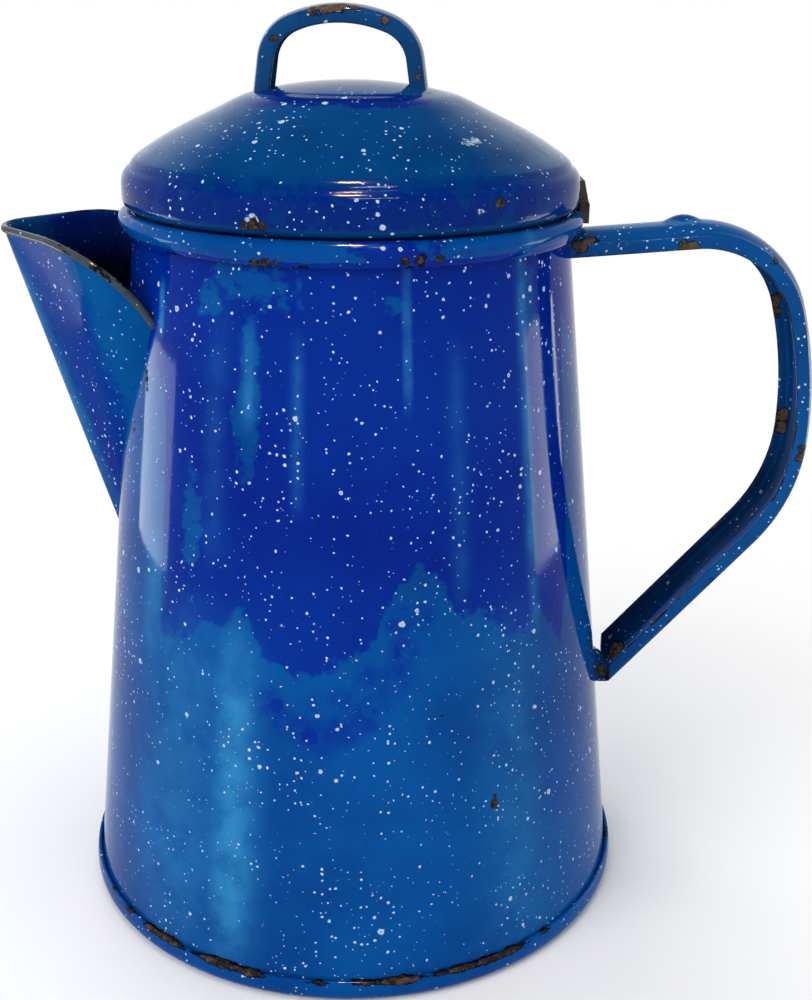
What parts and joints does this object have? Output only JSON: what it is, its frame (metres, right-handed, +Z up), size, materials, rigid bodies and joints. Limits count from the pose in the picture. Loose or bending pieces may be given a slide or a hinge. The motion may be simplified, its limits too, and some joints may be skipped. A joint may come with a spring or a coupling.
{
  "type": "coffee pot",
  "caption": "Tapered enamelled sheet-metal coffee pot with a V-shaped spout, a strap handle and a hinged domed lid with a strap loop.",
  "frame": {"origin": "centre of the flat base that the pot stands on", "axes": "+Z up, +X towards the handle, -X towards the spout, Y along the lid's hinge pin"},
  "size_m": [0.1929, 0.138, 0.2135],
  "materials": {
    "pot_enamel": "gloss cobalt enamel with white specks",
    "handle_enamel": "gloss blue enamel, chipped at the edges",
    "lid_enamel": "gloss blue enamel with white specks",
    "hinge_iron": "black enamel worn to dark iron",
    "pin_steel": "tarnished steel wire"
  },
  "bodies": {
    "pot": {"body_wall": "pot_enamel", "bottom_pan": "pot_enamel", "spout": "pot_enamel", "handle": "handle_enamel", "rim_hinge_bracket": "hinge_iron", "hinge_pin": "pin_steel"},
    "lid": {"lid": "lid_enamel", "lid_loop": "lid_enamel", "lid_hinge_strap": "hinge_iron"}
  },
  "joints": [
    {"name": "lid_hinge", "type": "hinge", "parent": "pot", "child": "lid", "pos_m": [0.053, 0, 0.1708], "axis": [0, 1, 0], "range_deg": [0, 125]}
  ]
}
